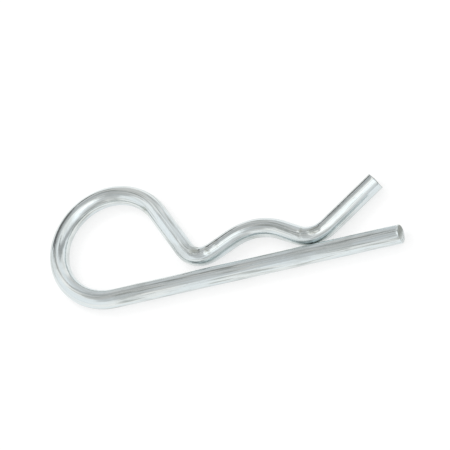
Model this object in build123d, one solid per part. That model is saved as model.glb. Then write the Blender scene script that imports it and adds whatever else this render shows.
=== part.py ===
from build123d import *
import os
from math import cos, radians, sin

# An R clip: one length of round spring wire, bent flat into a loop, a straight leg and a wavy leg.
# The wire's axis lies in the XY plane. The straight leg runs along X, and the wavy leg lies on its +Y side.
# The origin is on the straight leg's axis, under the crest of the hump: the centre of the pinned shaft.

# The wire
wire_d = 4.0
wire_r = wire_d / 2

# Bend radii, all measured to the wire's axis
loop_r = 11.75
neck_valley_r = 4.7
hump_r = 11.75
throat_valley_r = 6.0

# Slopes of the wavy leg's straight runs, in degrees from the straight leg
neck_slope = 60.5
rise_slope = 25.5
fall_slope = 30.5
flare_slope = 36.5

# Lengths of straight wire
straight_leg = 63.5
neck = 11.6
rise = 4.7
flare = 13.6

# The wavy leg springs back to just short of touching the straight leg
throat_gap = 0.1

# Cut ends: the straight leg's is deburred, and the flared one is left nearly square
straight_end_round = 0.35
flared_end_round = 0.15


def drop(slope, radius):
    """How far an arc that starts level falls before it reaches this slope."""
    return radius * (1 - cos(radians(slope)))


def fall_length():
    """The straight run that sets the throat's valley the gap above the straight leg."""
    neck_top = loop_r * (1 + cos(radians(neck_slope)))
    valley_1 = neck_top - neck * sin(radians(neck_slope)) - drop(neck_slope, neck_valley_r)
    rise_ends = rise * sin(radians(rise_slope)) + drop(rise_slope, neck_valley_r)
    crest = valley_1 + rise_ends + drop(rise_slope, hump_r)
    bends = drop(fall_slope, hump_r) + drop(fall_slope, throat_valley_r)
    valley_2 = wire_d + throat_gap
    return (crest - valley_2 - bends) / sin(radians(fall_slope))


def crest_distance():
    """Along X, from the point where the loop meets the straight leg to the crest of the hump."""
    neck_end = loop_r * sin(radians(neck_slope)) + neck * cos(radians(neck_slope))
    valley = neck_valley_r * (sin(radians(neck_slope)) + sin(radians(rise_slope)))
    return neck_end + valley + rise * cos(radians(rise_slope)) + hump_r * sin(radians(rise_slope))


def wire_axis():
    """The runs and bends of the wire's axis, in order from the straight leg's cut end."""
    loop_x = -crest_distance()
    with BuildLine() as axis:
        leg = Line((loop_x + straight_leg, 0), (loop_x, 0))
        loop = JernArc(leg @ 1, leg % 1, loop_r, -(180 + neck_slope))
        down = PolarLine(loop @ 1, neck, direction=loop % 1)
        valley_1 = JernArc(down @ 1, down % 1, neck_valley_r, neck_slope + rise_slope)
        up = PolarLine(valley_1 @ 1, rise, direction=valley_1 % 1)
        hump = JernArc(up @ 1, up % 1, hump_r, -(rise_slope + fall_slope))
        fall = PolarLine(hump @ 1, fall_length(), direction=hump % 1)
        valley_2 = JernArc(fall @ 1, fall % 1, throat_valley_r, fall_slope + flare_slope)
        PolarLine(valley_2 @ 1, flare, direction=valley_2 % 1)
    return axis.edges().sort_by(axis.wire())


def length_of_wire(edge):
    """One straight run or one bend, as a solid of round section."""
    section = Plane(origin=edge @ 0, z_dir=edge % 0) * Circle(wire_r)
    return sweep(sections=section, path=edge)


def cut_end(clip, run, at):
    """The rim of the wire's cut face at one end of a run."""
    centre = run @ at
    return clip.edges().filter_by(GeomType.CIRCLE).sort_by_distance(centre)[0]


def r_clip():
    """The whole clip, bent from one wire."""
    runs = wire_axis()
    pieces = [length_of_wire(edge) for edge in runs]
    clip = pieces[0].fuse(*pieces[1:]).clean()
    clip = fillet(cut_end(clip, runs[0], 0), straight_end_round)
    clip = fillet(cut_end(clip, runs[-1], 1), flared_end_round)
    return clip


os.makedirs("parts", exist_ok=True)
export_step(r_clip(), "parts/r_clip.step")
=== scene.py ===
# %% [markdown]
# # An R clip in bright zinc plated spring wire
#
# The clip is one piece of round spring wire: a straight leg, a round loop, and a wavy leg whose hump
# snaps over a pinned shaft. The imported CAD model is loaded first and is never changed. It gives the
# place and the thickness of the wire, and everything that is made here is laid over it, in metres.

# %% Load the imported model
from math import ceil, cos, pi, radians, sin, tau

import bmesh
import bpy
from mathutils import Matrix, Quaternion, Vector, noise


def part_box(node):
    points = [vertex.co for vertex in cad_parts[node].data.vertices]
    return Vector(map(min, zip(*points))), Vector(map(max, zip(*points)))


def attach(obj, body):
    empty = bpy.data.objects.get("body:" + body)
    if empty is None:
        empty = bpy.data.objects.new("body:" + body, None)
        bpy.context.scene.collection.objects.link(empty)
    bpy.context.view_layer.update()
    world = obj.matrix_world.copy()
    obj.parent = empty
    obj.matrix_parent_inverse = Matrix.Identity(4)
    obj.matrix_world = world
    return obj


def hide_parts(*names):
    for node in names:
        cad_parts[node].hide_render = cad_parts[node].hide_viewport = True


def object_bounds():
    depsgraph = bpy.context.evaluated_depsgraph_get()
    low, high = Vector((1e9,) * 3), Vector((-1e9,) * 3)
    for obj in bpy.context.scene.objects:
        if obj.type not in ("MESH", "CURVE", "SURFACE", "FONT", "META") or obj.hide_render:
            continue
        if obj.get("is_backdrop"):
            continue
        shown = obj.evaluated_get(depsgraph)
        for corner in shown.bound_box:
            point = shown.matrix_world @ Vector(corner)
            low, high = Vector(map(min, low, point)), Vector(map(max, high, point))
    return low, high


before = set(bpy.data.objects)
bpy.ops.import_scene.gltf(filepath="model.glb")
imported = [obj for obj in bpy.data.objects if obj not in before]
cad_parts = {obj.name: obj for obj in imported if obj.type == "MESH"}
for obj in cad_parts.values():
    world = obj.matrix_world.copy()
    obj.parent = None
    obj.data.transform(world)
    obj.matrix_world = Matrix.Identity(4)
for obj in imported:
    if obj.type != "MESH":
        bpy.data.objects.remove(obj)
cad_box = [list(corner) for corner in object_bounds()]

MM = 0.001
clip_low, clip_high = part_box("r_clip")
wire_radius = (clip_high.z - clip_low.z) / 2
floor_height = clip_low.z
print("wire diameter, mm:", round(2 * wire_radius / MM, 3))

# %% [markdown]
# ## The bent line
#
# A wire bender works from a short list: how much wire to feed, and how far to turn it. The same list
# draws the line here. A run is a length and a turn in degrees, where left is positive and a straight
# run turns by nothing. A curve object could follow typed points, but a list of feeds and turns keeps
# every bend round and every straight run straight, as the tool does.

# %% The list of feeds and turns
LOOP_RADIUS = 11.75 * MM
NECK_VALLEY_RADIUS = 4.7 * MM
HUMP_RADIUS = 11.75 * MM
THROAT_VALLEY_RADIUS = 6.0 * MM
NECK_SLOPE = radians(60.5)
RISE_SLOPE = radians(25.5)
FALL_SLOPE = radians(30.5)
FLARE_SLOPE = radians(36.5)
STRAIGHT_LEG = 63.5 * MM
NECK = 11.6 * MM
RISE = 4.7 * MM
FLARE = 13.6 * MM
THROAT_GAP = 0.1 * MM


def drop(slope, radius):
    """How far an arc that starts level falls before it reaches this slope."""
    return radius * (1 - cos(slope))


neck_top = LOOP_RADIUS * (1 + cos(NECK_SLOPE))
neck_valley = neck_top - NECK * sin(NECK_SLOPE) - drop(NECK_SLOPE, NECK_VALLEY_RADIUS)
crest = neck_valley + RISE * sin(RISE_SLOPE)
crest += drop(RISE_SLOPE, NECK_VALLEY_RADIUS) + drop(RISE_SLOPE, HUMP_RADIUS)
throat = 2 * wire_radius + THROAT_GAP
fall_bends = drop(FALL_SLOPE, HUMP_RADIUS) + drop(FALL_SLOPE, THROAT_VALLEY_RADIUS)
fall = (crest - throat - fall_bends) / sin(FALL_SLOPE)


def bend(radius, turn):
    """A bend to this radius, as a length of wire and a turn."""
    return (radius * abs(turn), turn)


RUNS = [
    (STRAIGHT_LEG, 0.0),
    bend(LOOP_RADIUS, -(pi + NECK_SLOPE)),
    (NECK, 0.0),
    bend(NECK_VALLEY_RADIUS, NECK_SLOPE + RISE_SLOPE),
    (RISE, 0.0),
    bend(HUMP_RADIUS, -(RISE_SLOPE + FALL_SLOPE)),
    (fall, 0.0),
    bend(THROAT_VALLEY_RADIUS, FALL_SLOPE + FLARE_SLOPE),
    (FLARE, 0.0),
]
run_ends = [sum(length for length, turn in RUNS[: i + 1]) for i in range(len(RUNS))]
wire_length = run_ends[-1]
print("wire length, mm:", round(wire_length / MM, 2), "fall, mm:", round(fall / MM, 3))

# %% [markdown]
# Spring wire can't change from straight to curved at a point: it eases into each bend over about half
# its thickness. So the turn rate is averaged over a short length before the line is walked. The walk
# starts at the straight leg's cut end, which the CAD box gives as the clip's highest X.

# %% Walk the line
STEP = 0.05 * MM
EASE = 0.9 * MM


def turned(along):
    """How far the wire has turned, in radians, at a distance along it and before easing."""
    total = 0.0
    start = 0.0
    for length, turn in RUNS:
        total += turn * min(1.0, max(0.0, (along - start) / length))
        start += length
    return total


def eased_rate(along):
    """Radians of turn per metre of wire, averaged over the easing length."""
    return (turned(along + EASE / 2) - turned(along - EASE / 2)) / EASE


def walk():
    """The line as (place, heading, turn rate), one for each step."""
    place = Vector((clip_high.x, 0, 0))
    heading = pi
    line = []
    for i in range(ceil(wire_length / STEP)):
        rate = eased_rate((i + 0.5) * STEP)
        line.append((place.copy(), heading, rate))
        middle = heading + rate * STEP / 2
        place += Vector((cos(middle), sin(middle), 0)) * STEP
        heading += rate * STEP
    line.append((place.copy(), heading, 0.0))
    return line


LINE = walk()
print("flared end at, mm:", [round(value / MM, 2) for value in LINE[-1][0]])

# %% [markdown]
# ## What forming leaves on the wire
#
# A stock tube would be too perfect. Drawing the wire through a die leaves long shallow furrows, the
# outside of a bend thins, and each forming pin presses a small flat into the inside of its bend. These
# are a few thousandths to a tenth of a millimetre, but a mirror finish shows them as broken, wandering
# highlights, so they are in the mesh and not only in the material.

# %% Radius of the wire at any point
FURROW_DEPTH = 0.009 * MM
FURROW_WIDTH = 0.9 * MM
FURROW_LENGTH = 38 * MM
RIPPLE_DEPTH = 0.022 * MM
RIPPLE_LENGTH = 5 * MM
THINNING = 0.25 * MM * MM
FINE_FURROW_SHARE = 0.5  # fine furrows are this much narrower and shallower than the broad ones
RIPPLE_WIDTH = 4 * FURROW_WIDTH
FINE_FURROW_SEED = 9
RIPPLE_SEED = 5

# Where a tool pressed: the run, how far through it, the angle round the wire,
# the mark's size along and round the wire, and its depth
TOOL_MARKS = [
    (3, 0.50, radians(72), 1.6 * MM, 1.3 * MM, 0.100 * MM),
    (3, 0.92, radians(88), 0.5 * MM, 1.9 * MM, 0.045 * MM),
    (4, 0.34, radians(80), 0.5 * MM, 1.6 * MM, 0.030 * MM),
    (5, 0.50, radians(205), 1.6 * MM, 1.3 * MM, 0.030 * MM),
    (7, 0.16, radians(84), 0.5 * MM, 1.9 * MM, 0.050 * MM),
    (7, 0.62, radians(88), 1.7 * MM, 1.1 * MM, 0.070 * MM),
    (1, 0.97, radians(150), 1.6 * MM, 1.3 * MM, 0.035 * MM),
]
RAGGED = 0.35
RAGGED_SCALE = 2
MARK_EDGE = 2.2
MARK_REACH = 1.5


def smooth(value):
    """A smooth step from 0 to 1."""
    value = min(1.0, max(0.0, value))
    return value * value * (3 - 2 * value)


def round_from(angle, middle):
    """The signed angle round the wire from a middle to here, the short way."""
    return (angle - middle + pi) % tau - pi


def tool_mark(along, angle):
    """How fully a tool has pressed here, from 0 to 1, and how deep."""
    most = 0.0
    deep = 0.0
    for run, share, middle, length, width, depth in TOOL_MARKS:
        away = (along - run_ends[run] + RUNS[run][0] * (1 - share)) / length
        if abs(away) > MARK_REACH:
            continue
        aside = round_from(angle, middle) * wire_radius / width
        own_noise = depth / MM * 40
        ragged = RAGGED * noise.noise(Vector((away * RAGGED_SCALE, aside * RAGGED_SCALE, own_noise)))
        press = smooth(MARK_EDGE * (1 - Vector((away, aside)).length - ragged))
        most = max(most, press)
        deep = max(deep, press * depth)
    return most, deep


def surface_radius(along, angle, rate):
    """The wire's radius here, with furrows, ripples, thinning and pin marks."""
    across = Vector((0, cos(angle), sin(angle))) * wire_radius
    furrow = noise.noise(across / FURROW_WIDTH + Vector((along / FURROW_LENGTH, 0, 0)))
    fine_place = across / FURROW_WIDTH + Vector((along / FURROW_LENGTH, 0, 0))
    fine_place = fine_place / FINE_FURROW_SHARE + Vector((FINE_FURROW_SEED, 0, 0))
    fine = noise.noise(fine_place)
    ripple = noise.noise(across / RIPPLE_WIDTH + Vector((along / RIPPLE_LENGTH, RIPPLE_SEED, 0)))
    outside = max(0.0, -cos(angle) * rate)
    relief = FURROW_DEPTH * (furrow + FINE_FURROW_SHARE * fine) + RIPPLE_DEPTH * ripple
    return wire_radius + relief - THINNING * outside - tool_mark(along, angle)[1]


print("tool marks:", len(TOOL_MARKS), "deepest, mm:", max(mark[5] for mark in TOOL_MARKS) / MM)


# %% [markdown]
# ## The cut ends
#
# Both ends are sheared. The straight leg's end has been tumbled until its rim is round, so that it
# slides into a hole. The flared end keeps a nearly sharp rim, with a little burr on the side where the
# blade came through. A sheared face is part burnished and part torn, so it isn't flat.

# %% Shape of a cut end
STRAIGHT_END_ROUND = 0.35 * MM
FLARED_END_ROUND = 0.15 * MM
RIM_STEPS = 7
FACE_RINGS = 14
TEAR_DEPTH = 0.06 * MM
# The torn side is turned to where a dark reflection falls on the ends, so its darker grey is partly
# painted reflection
TORN_AND_PAINTED_DARK_SIDE = radians(34)
TEAR_SPREAD = 1.2
BURNISHED_GREY = 0.25  # how much of the bare steel's grey the burnished part has
COARSE_TEAR = 3.1
FINE_TEAR = 7.3
STRAIGHT_FACE_SEED = 3.0
FLARED_FACE_SEED = 8.0
FACE_CROWN = 0.14 * MM
BURR = 0.11 * MM
BURR_ANGLE = radians(218)
BURR_SPREAD = radians(42)
BURR_LEAN = 0.35
FACE_EDGE = 6
SHEARED_EDGE = 1.6


def torn_and_painted_dark_part(share, angle):
    """How torn the sheared face is here, from 0, burnished by the blade, to 1. The torn side is also
    painted dark reflection.
    """
    return smooth(0.5 + TEAR_SPREAD * share * sin(angle - TORN_AND_PAINTED_DARK_SIDE))


def torn_face(share, angle, seed):
    """How far the sheared face stands out, at a share of its radius."""
    across = Vector((share * cos(angle), share * sin(angle), seed))
    torn = torn_and_painted_dark_part(share, angle)
    rough = noise.noise(across * COARSE_TEAR) + 0.5 * noise.noise(across * FINE_TEAR)
    return FACE_CROWN * (1 - share * share) + TEAR_DEPTH * (rough * torn - 0.5 * torn)


def end_rings(rim, burr, seed):
    """Rings from the wire's side to the face's middle: (inset, share, how far out, burr, seed)."""
    rings = []
    for i in range(1, RIM_STEPS + 1):
        turn = pi / 2 * i / RIM_STEPS
        rings.append((rim * (1 - cos(turn)), 1.0, rim * (sin(turn) - 1), burr, seed))
    for i in range(1, FACE_RINGS):
        share = 1 - i / FACE_RINGS
        rings.append((rim, share, 0.0, 0.0, seed))
    return rings


print("rings in a cut end:", RIM_STEPS + FACE_RINGS - 1)


# %% [markdown]
# ## Sweep the wire
#
# Rings of points are laid square to the line and joined into a tube with bmesh. Each point also keeps
# its place on the wire as it was before it was bent: how far along, and where across. Draw lines follow
# that unbent wire round every corner, so the finish reads it from an attribute and needs no seam.

# %% A ring of points
RING_POINTS = 96
RING_GAP = 0.36 * MM
ANGLES = [tau * i / RING_POINTS for i in range(RING_POINTS)]


def place_on_line(along):
    """Place, heading and turn rate at a distance along the wire."""
    position = min(max(along / STEP, 0), len(LINE) - 1.001)
    i = int(position)
    share = position - i
    start, next_one = LINE[i], LINE[i + 1]
    place = start[0].lerp(next_one[0], share)
    return place, start[1] + (next_one[1] - start[1]) * share, start[2]


def ring(bm, layers, along, inset=0.0, share=1.0, out=0.0, burr=0.0, seed=0.0, sheared_with_painted_dark=0.0):
    """One ring of points round the wire."""
    place, heading, rate = place_on_line(along)
    forward = Vector((cos(heading), sin(heading), 0))
    left = Vector((-sin(heading), cos(heading), 0))
    up = Vector((0, 0, 1))
    outward = 1 if along > wire_length / 2 else -1
    made = []
    for angle in ANGLES:
        radius = (surface_radius(along, angle, rate) - inset) * share
        stand = out
        if seed:
            stand += torn_face(share, angle, seed) * smooth((1 - share) * FACE_EDGE)
            lip = smooth(1 - abs(round_from(angle, BURR_ANGLE)) / BURR_SPREAD)
            stand += burr * lip
            radius += BURR_LEAN * burr * lip
        across = left * cos(angle) + up * sin(angle)
        vert = bm.verts.new(place + across * radius + forward * (stand * outward))
        straight = Vector((along + stand * outward, radius * cos(angle), radius * sin(angle)))
        vert[layers["unbent"]] = straight / MM
        vert[layers["tool_mark"]] = tool_mark(along, angle)[0]
        # Grey of the cut face: bare steel, fullest on the torn side, where it is also a painted dark
        # reflection
        vert[layers["sheared_with_painted_dark"]] = sheared_with_painted_dark * (
            BURNISHED_GREY + (1 - BURNISHED_GREY) * torn_and_painted_dark_part(share, angle)
        )
        made.append(vert)
    return made


print("points in a ring:", RING_POINTS, "rings every, mm:", RING_GAP / MM)

# %% [markdown]
# The rings are joined with four-sided faces from the middle of one cut face to the middle of the
# other, which closes the mesh. The rings of a rim and a face are only other rings with a smaller
# radius, so the whole wire is one loop over a list, with no caps to weld on.

# %% Sweep the rings into a wire
def sweep_wire():
    """The whole wire as one closed mesh."""
    bm = bmesh.new()
    layers = {"unbent": bm.verts.layers.float_vector.new("unbent")}
    for name in ("tool_mark", "sheared_with_painted_dark"):
        layers[name] = bm.verts.layers.float.new(name)
    start_face = end_rings(STRAIGHT_END_ROUND, 0.0, STRAIGHT_FACE_SEED)
    end_face = end_rings(FLARED_END_ROUND, BURR, FLARED_FACE_SEED)
    rings = []
    for inset, share, out, burr, seed in reversed(start_face):
        part_sheared_with_painted_dark = smooth(inset / STRAIGHT_END_ROUND * SHEARED_EDGE)
        rings.append(ring(bm, layers, 0.0, inset, share, out, burr, seed, part_sheared_with_painted_dark))
    first = STRAIGHT_END_ROUND
    last = wire_length - FLARED_END_ROUND
    count = ceil((last - first) / RING_GAP)
    for i in range(count + 1):
        rings.append(ring(bm, layers, first + (last - first) * i / count))
    for inset, share, out, burr, seed in end_face:
        part_sheared_with_painted_dark = smooth(inset / FLARED_END_ROUND * SHEARED_EDGE)
        rings.append(ring(bm, layers, wire_length, inset, share, out, burr, seed, part_sheared_with_painted_dark))
    for low, high in zip(rings, rings[1:]):
        for i in range(RING_POINTS):
            j = (i + 1) % RING_POINTS
            bm.faces.new((low[i], low[j], high[j], high[i]))
    for edge_ring in (rings[0], rings[-1]):
        centre = bm.verts.new(sum((v.co for v in edge_ring), Vector()) / RING_POINTS)
        middles = [v[layers["unbent"]] for v in edge_ring]
        centre[layers["unbent"]] = sum(middles, Vector()) / RING_POINTS
        centre[layers["sheared_with_painted_dark"]] = 1.0
        for i in range(RING_POINTS):
            bm.faces.new((edge_ring[i], edge_ring[(i + 1) % RING_POINTS], centre))
    bmesh.ops.recalc_face_normals(bm, faces=bm.faces)
    return bm


bm = sweep_wire()
clip_mesh = bpy.data.meshes.new("r_clip_wire")
bm.to_mesh(clip_mesh)
bm.free()
clip_mesh.shade_smooth()
clip = bpy.data.objects.new("r_clip_wire", clip_mesh)
bpy.context.scene.collection.objects.link(clip)
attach(clip, "root")
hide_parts("r_clip")
print("faces:", len(clip_mesh.polygons))

# %% [markdown]
# ## A helper for materials
#
# Materials are built from nodes. One small function adds a node, sets its properties and sockets, and
# links it, so that a material reads as a list of what its surface has. Colours are written as the
# sRGB hex values that a colour picker shows, and one function turns them to the linear values that
# the renderer works in.

# %% Node and colour helpers
def linear(hex_colour):
    """An sRGB hex colour as linear RGBA."""
    channels = [int(hex_colour[i : i + 2], 16) / 255 for i in (1, 3, 5)]
    return [c / 12.92 if c <= 0.04045 else ((c + 0.055) / 1.055) ** 2.4 for c in channels] + [1.0]


def add_node(tree, kind, settings=None, **sockets):
    """Adds a node with its settings and links.

    A socket is given by its name, or by n and its number. It takes a value, another node's output, or
    a node, which stands for its first output in use.
    """
    node = tree.nodes.new(kind)
    for key, value in (settings or {}).items():
        setattr(node, key, value)
    for key, value in sockets.items():
        numbered = key[0] == "n" and key[1:].isdigit()
        socket = node.inputs[int(key[1:]) if numbered else key.replace("_", " ")]
        if isinstance(value, bpy.types.Node):
            value = next(output for output in value.outputs if output.enabled)
        if isinstance(value, bpy.types.NodeSocket):
            tree.links.new(value, socket)
        else:
            socket.default_value = value
    return node


# Settings that come back: a smooth stretch of a pattern, a blend of two colours, and plain sums
STRETCH = {"interpolation_type": "SMOOTHSTEP"}
BLEND = {"data_type": "RGBA"}
MULTIPLY = {"operation": "MULTIPLY"}
MULTIPLY_ADD = {"operation": "MULTIPLY_ADD"}
print("white is", linear("#ffffff"))

# %% [markdown]
# ## Bright zinc plated spring wire
#
# The wire is drawn from hard carbon steel, bent, and then electroplated with zinc and given a clear
# passivate. Zinc over a drawn wire is a soft mirror: it gives the eye a cool, faintly blue silver,
# drawn out in streaks along the wire, with cloudier patches where the plating is thicker. Where a
# forming pin bruised the wire the zinc lies duller and a little olive. On a sheared face the burnished
# part is nearly as bright as the wire, and the torn part is coarse and grey. The torn part lies on the
# side of the face where a dark reflection falls, so its grey is partly painted reflection. All of the
# patterns are worked out in millimetres on the unbent wire.

# %% Patterns of the zinc finish, in millimetres
DIE_LINE_GAP = 0.34  # real die lines are about 0.03 apart: drawn coarser so that they show
DIE_LINE_LENGTH = 9.0
STREAK_GAP = 0.7
STREAK_LENGTH = 16.0
PLATING_GRAIN = 0.11  # real zinc crystals are about 0.01: drawn coarser so that they show
CLOUD_LENGTH = 6.8
CLOUD_WIDTH = 3.4
SCUFF_GAP = 0.22
SCUFF_LENGTH = 2.6
SCUFF_TURN = (0, radians(9), radians(14))

zinc = bpy.data.materials.new("bright_zinc_plated_spring_steel_wire")
zinc.use_nodes = True
tree = zinc.node_tree
tree.nodes.clear()
unbent = add_node(tree, "ShaderNodeAttribute", {"attribute_name": "unbent"}).outputs["Vector"]
pressed = add_node(tree, "ShaderNodeAttribute", {"attribute_name": "tool_mark"}).outputs["Fac"]
sheared_with_painted_dark = add_node(tree, "ShaderNodeAttribute", {"attribute_name": "sheared_with_painted_dark"}).outputs["Fac"]


def pattern(along, across, detail, turn=(0, 0, 0)):
    """Noise whose features are this long along the wire and this wide across it."""
    turned = add_node(tree, "ShaderNodeMapping", None, Vector=unbent, Rotation=turn)
    scale = (1 / along, 1 / across, 1 / across)
    sized = add_node(tree, "ShaderNodeMapping", None, Vector=turned, Scale=scale)
    return add_node(tree, "ShaderNodeTexNoise", None, Vector=sized, Scale=1.0, Detail=detail)


die_lines = pattern(DIE_LINE_LENGTH, DIE_LINE_GAP, 3.0)
streaks = pattern(STREAK_LENGTH, STREAK_GAP, 2.0)
grain = pattern(PLATING_GRAIN, PLATING_GRAIN, 2.0)
clouds = pattern(CLOUD_LENGTH, CLOUD_WIDTH, 3.0)
scuffs = pattern(SCUFF_LENGTH, SCUFF_GAP, 2.0, SCUFF_TURN)
print("patterns:", len(tree.nodes), "nodes")

# %% [markdown]
# The colour moves a little between a clear blue silver and a warmer one, streak by streak. It must stay
# subtle, because most of what the eye calls the colour of bright zinc is the room that it reflects.
# Each feature has a place, a number from 0 to 1 that says where it lies. A place is one part of a
# noise pattern, stretched, and the colours are blended in one after another.

# %% Places of the clouds, drawn lines, scuffs and bruises
CLOUDY_STRENGTH = 0.60
DRAWN_STRENGTH = 0.60
SCUFFED_STRENGTH = 0.35
BRUISED_STRENGTH = 0.60

warm = add_node(tree, "ShaderNodeMapRange", STRETCH, Value=streaks, From_Min=0.3, From_Max=0.7)
cloudy = add_node(
    tree, "ShaderNodeMapRange", STRETCH,
    Value=clouds, From_Min=0.50, From_Max=0.68, To_Max=CLOUDY_STRENGTH,
)
furrowed = add_node(
    tree, "ShaderNodeMapRange", STRETCH,
    Value=die_lines, From_Min=0.49, From_Max=0.65, To_Max=DRAWN_STRENGTH,
)
streaky = add_node(tree, "ShaderNodeMapRange", STRETCH, Value=streaks, From_Min=0.36, From_Max=0.60)
drawn = add_node(tree, "ShaderNodeMath", MULTIPLY, n0=furrowed, n1=streaky)
scuffed = add_node(
    tree, "ShaderNodeMapRange", STRETCH,
    Value=scuffs, From_Min=0.6, From_Max=0.7, To_Max=SCUFFED_STRENGTH,
)
broken = add_node(
    tree, "ShaderNodeMapRange", STRETCH,
    Value=scuffs, From_Min=0.35, From_Max=0.65, To_Max=BRUISED_STRENGTH,
)
bruised = add_node(tree, "ShaderNodeMath", MULTIPLY, n0=pressed, n1=broken)

# %% Colour of the zinc
BLUE_SILVER = linear("#dae3e6")
CLEAR_SILVER = linear("#e1e5e3")
CLOUDED_ZINC = linear("#c6cccb")
DRAWN_GREY = linear("#868e8b")
BRUISED_ZINC = linear("#a9ac9f")
# Bare cut steel, laid on most fully on the torn side of each face, where it is also painted dark
# reflection
SHEARED_STEEL_AND_PAINTED_DARK = linear("#8b908b")

colour = add_node(tree, "ShaderNodeMix", BLEND, n0=warm, n6=BLUE_SILVER, n7=CLEAR_SILVER)
for place, tone in (
    (cloudy, CLOUDED_ZINC),
    (drawn, DRAWN_GREY),
    (scuffed, CLOUDED_ZINC),
    (bruised, BRUISED_ZINC),
    (sheared_with_painted_dark, SHEARED_STEEL_AND_PAINTED_DARK),
):
    colour = add_node(tree, "ShaderNodeMix", BLEND, n0=place, n6=colour, n7=tone)
print("with colour:", len(tree.nodes), "nodes")

# %% [markdown]
# Gloss carries the finish. The plating is smooth on the crests of the die lines and rougher in the
# furrows, cloudy patches scatter more, and the bruised and sheared places are nearly matt.

# %% Roughness of the zinc
BRIGHT_ROUGHNESS = 0.05
FURROW_ROUGHNESS = 0.13

roughness = add_node(
    tree, "ShaderNodeMapRange", STRETCH,
    Value=die_lines, From_Min=0.3, From_Max=0.7, To_Min=BRIGHT_ROUGHNESS, To_Max=FURROW_ROUGHNESS,
)
for place, added in ((cloudy, 0.16), (bruised, 0.22), (sheared_with_painted_dark, 0.25)):
    roughness = add_node(tree, "ShaderNodeMath", MULTIPLY_ADD, n0=place, n1=added, n2=roughness)
print("with roughness:", len(tree.nodes), "nodes")

# %% [markdown]
# Bump nodes are chained, finest last. Each one has a real depth in metres. The mesh already has the
# broad furrows, so the bump adds only what is finer than the mesh.

# %% Relief of the zinc
DIE_LINE_DEPTH = 0.005 * MM
SCUFF_DEPTH = 0.004 * MM
GRAIN_DEPTH = 0.0008 * MM
TORN_DEPTH = 0.030 * MM

scratched = add_node(tree, "ShaderNodeMapRange", STRETCH, Value=scuffs, From_Min=0.58, From_Max=0.72)
torn_grain = add_node(tree, "ShaderNodeMath", MULTIPLY, n0=grain, n1=sheared_with_painted_dark)
relief = add_node(tree, "ShaderNodeBump", None, Height=die_lines, Distance=DIE_LINE_DEPTH)
for shape, depth in ((scratched, SCUFF_DEPTH), (grain, GRAIN_DEPTH), (torn_grain, TORN_DEPTH)):
    relief = add_node(tree, "ShaderNodeBump", None, Height=shape, Distance=depth, Normal=relief)
shader = add_node(
    tree, "ShaderNodeBsdfPrincipled", None,
    Base_Color=colour, Metallic=1.0, Roughness=roughness, Normal=relief,
)
add_node(tree, "ShaderNodeOutputMaterial", None, Surface=shader)
clip_mesh.materials.append(zinc)
print("zinc material:", len(tree.nodes), "nodes")

# %% [markdown]
# ## The floor
#
# A white table that runs out of sight. To a camera or a reflection it also glows a little, which lifts
# the open table to plain white and leaves the soft shadow of the clip on it. The glow isn't seen by
# diffuse light, so it doesn't light anything.

# %% White table
TABLE_SIZE = 40.0
TABLE_COLOUR = linear("#a8a8a8")
TABLE_GLOW = 0.66

table_mesh = bpy.data.meshes.new("white_table")
half_table = TABLE_SIZE / 2
corners = [(-1, -1), (1, -1), (1, 1), (-1, 1)]
table_mesh.from_pydata(
    [(x * half_table, y * half_table, floor_height) for x, y in corners], [], [(0, 1, 2, 3)]
)
table = bpy.data.objects.new("white_table", table_mesh)
bpy.context.scene.collection.objects.link(table)
table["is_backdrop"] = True

table_paint = bpy.data.materials.new("white_laminate_table")
table_paint.use_nodes = True
tree = table_paint.node_tree
tree.nodes.clear()
ray = add_node(tree, "ShaderNodeLightPath").outputs
strength = 0.0
for kind in ("Is Camera Ray", "Is Glossy Ray", "Is Transmission Ray"):
    strength = add_node(tree, "ShaderNodeMath", MULTIPLY_ADD, n0=ray[kind], n1=TABLE_GLOW, n2=strength)
laminate = add_node(tree, "ShaderNodeBsdfDiffuse", None, Color=TABLE_COLOUR)
glow = add_node(tree, "ShaderNodeEmission", None, Strength=strength)
both = add_node(tree, "ShaderNodeAddShader", None, n0=laminate, n1=glow)
add_node(tree, "ShaderNodeOutputMaterial", None, Surface=both)
table_mesh.materials.append(table_paint)
print("table, m:", TABLE_SIZE, "at height, mm:", round(floor_height / MM, 2))

# %% [markdown]
# ## The room
#
# Bright metal shows the room more than itself. A product table stands in a white room under big soft
# boxes, with a few grey cards that put dark lines along the wire. The room is drawn on the world's
# dome: a grey that changes with height, and then each box or card as a soft-edged disc in its own
# direction. Discs on the dome light the clip as real boxes do, and none can stand in the way of a
# camera on any side.
#
# The real room isn't known, and this plan wasn't drawn up by hand. A separate program fitted the discs
# to where light and dark bands should fall along the wire. Their numbers were then rounded, adjusted
# and given names for their directions. The names don't stand for real furniture.

# %% Plan of the boxes and cards
# Bearing from +Y towards +X, height, radius and soft edge, all in degrees, and then the brightness
BOXES_AND_CARDS = {
    "top_card_left": (-105, 64, 12, 4, 0.60),
    "top_card_back": (-56, 62, 11, 3, 0.56),
    "front_card_left": (-145, 51, 14, 4, 0.70),
    "top_box": (170, 74, 13, 3, 1.40),
    "right_box": (125, 58, 14, 3, 1.30),
    "left_box": (-55, 34, 23, 5, 1.08),
    "back_card_wide": (-5, 24, 24, 5, 0.78),
    "back_card_low": (5, 4, 23, 4, 0.68),
    "back_card_middle": (-13, 13, 25, 3, 0.70),
    "back_card_high": (-32, 45, 11, 3, 0.52),
    "dark_card_low": (-42, 9, 16, 2, 0.18),
    "dark_card_high": (-47, 30, 10, 2, 0.18),
    "front_card_wide": (170, 23, 26, 6, 0.76),
}
# One long dark flag on the right runs from high behind the table to low beside it, and widens as it
# falls. It stands in for five fitted discs, and is drawn as overlapping discs between two ends, each
# given as a card is.
FLAG_TOP = (25, 66, 6, 2, 0.38)
FLAG_FOOT = (125, 11, 17, 4, 0.60)
FLAG_DISCS = 6

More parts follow.
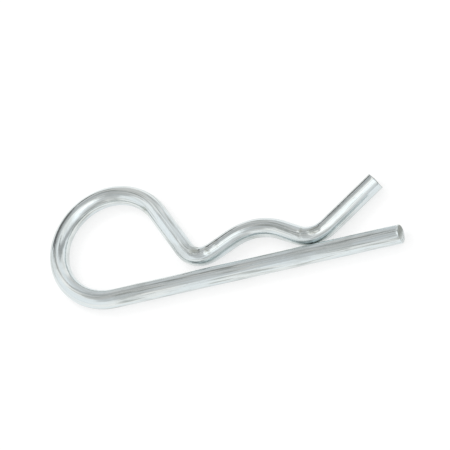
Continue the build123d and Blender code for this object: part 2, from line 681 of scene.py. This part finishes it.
for i in range(FLAG_DISCS):
    share = i / (FLAG_DISCS - 1)
    BOXES_AND_CARDS[f"flag_{i}"] = tuple(a + (b - a) * share for a, b in zip(FLAG_TOP, FLAG_FOOT))
print("boxes and cards:", len(BOXES_AND_CARDS))

# %% [markdown]
# Each disc is found by comparing two directions. The dot product of the way that a ray goes and the
# way to the disc's middle is the cosine of the angle between them, so a disc is where it is high. The
# discs are blended over the dome one after another, as if each hung in front of those before it.

# %% Dome
# Height as the sine of its angle, and the dome's grey there
DOME = [(0.0, 1.0), (0.06, 1.0), (0.3, 1.04), (0.7, 1.0), (0.9, 1.0), (1.0, 1.15)]
HORIZON = (0.02, 0.07)  # no box or card comes below this, so that the room stays white at the table

room = bpy.data.worlds.new("white_studio")
bpy.context.scene.world = room
room.use_nodes = True
tree = room.node_tree
tree.nodes.clear()
toward = add_node(tree, "ShaderNodeTexCoord").outputs["Generated"]
height = add_node(tree, "ShaderNodeSeparateXYZ", None, Vector=toward).outputs["Z"]
ramp = add_node(tree, "ShaderNodeValToRGB", None, Fac=height)
stops = ramp.color_ramp.elements
while len(stops) < len(DOME):
    stops.new(0.5)
for stop, (position, grey) in zip(stops, DOME):
    stop.position = position
    stop.color = (grey, grey, grey, 1)
light = ramp.outputs["Color"]
low, high = HORIZON
above = add_node(tree, "ShaderNodeMapRange", STRETCH, Value=height, From_Min=low, From_Max=high)
for bearing, up_angle, radius, edge, brightness in BOXES_AND_CARDS.values():
    flat = cos(radians(up_angle))
    side = radians(bearing)
    middle = (flat * sin(side), flat * cos(side), sin(radians(up_angle)))
    near = add_node(tree, "ShaderNodeVectorMath", {"operation": "DOT_PRODUCT"}, n0=toward, n1=middle)
    rim = cos(radians(radius + edge))
    core = cos(radians(radius - edge))
    disc = add_node(tree, "ShaderNodeMapRange", STRETCH, Value=near, From_Min=rim, From_Max=core)
    inside = add_node(tree, "ShaderNodeMath", MULTIPLY, n0=disc, n1=above)
    grey = (brightness, brightness, brightness, 1)
    light = add_node(tree, "ShaderNodeMix", BLEND, n0=inside, n6=light, n7=grey)
air = add_node(tree, "ShaderNodeBackground", None, Color=light, Strength=1.0)
add_node(tree, "ShaderNodeOutputWorld", None, Surface=air)
print("room:", len(tree.nodes), "nodes")

# %% [markdown]
# One large soft lamp stands behind and to the left, for the faint shadow that the clip lies in. It is
# hidden from reflections, because its place in them is already taken by the dome.

# %% Shadow lamp
LAMP_BEARING = radians(-42)
LAMP_HEIGHT = radians(48)
LAMP_DISTANCE = 0.9
LAMP_SIZE = 0.42
LAMP_WATTS = 1.6

lamp_data = bpy.data.lights.new("soft_lamp", "AREA")
lamp_data.shape = "DISK"
lamp_data.size = LAMP_SIZE
lamp_data.energy = LAMP_WATTS
lamp = bpy.data.objects.new("soft_lamp", lamp_data)
bpy.context.scene.collection.objects.link(lamp)
lamp_way = Vector((
    cos(LAMP_HEIGHT) * sin(LAMP_BEARING), cos(LAMP_HEIGHT) * cos(LAMP_BEARING), sin(LAMP_HEIGHT)
))
lamp.location = lamp_way * LAMP_DISTANCE
lamp.rotation_mode = "QUATERNION"
lamp.rotation_quaternion = (-lamp_way).to_track_quat("-Z", "Y")
lamp.visible_glossy = False
lamp.visible_camera = False
print("lamp at, m:", [round(value, 3) for value in lamp.location])

# %% [markdown]
# ## The camera
#
# A long lens from far away, as small hardware is usually shown, so that the wire keeps the same
# thickness from end to end. It looks down from the straight leg's side and is rolled, so that the
# straight leg runs across the picture and climbs a little.

# %% Camera
LOOK_AT = Vector((-6.32, 11.07, 0)) * MM
BEARING = radians(35.0)
ELEVATION = radians(55.98)
ROLL = radians(-42.92)
DISTANCE = 3.333
VIEW_WIDTH = 92.26 * MM

back = Vector((sin(BEARING) * cos(ELEVATION), -cos(BEARING) * cos(ELEVATION), sin(ELEVATION)))
camera_data = bpy.data.cameras.new("camera")
camera_data.lens = camera_data.sensor_width * DISTANCE / VIEW_WIDTH
camera_data.clip_end = TABLE_SIZE
camera = bpy.data.objects.new("camera", camera_data)
bpy.context.scene.collection.objects.link(camera)
camera.location = LOOK_AT + back * DISTANCE
camera.rotation_mode = "QUATERNION"
camera.rotation_quaternion = (-back).to_track_quat("-Z", "Y") @ Quaternion((0, 0, 1), ROLL)
bpy.context.scene.camera = camera
bpy.context.scene.view_settings.view_transform = "Standard"
print("lens, mm:", round(camera_data.lens, 1))

# %% [markdown]
#
# The made clip has to keep the size of the CAD model. Both boxes are printed.

# %% Print both boxes
made_box = [list(corner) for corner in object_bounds()]
for name, box in (("cad", cad_box), ("made", made_box)):
    print(name, "box, mm:", [[round(value / MM, 2) for value in corner] for corner in box])
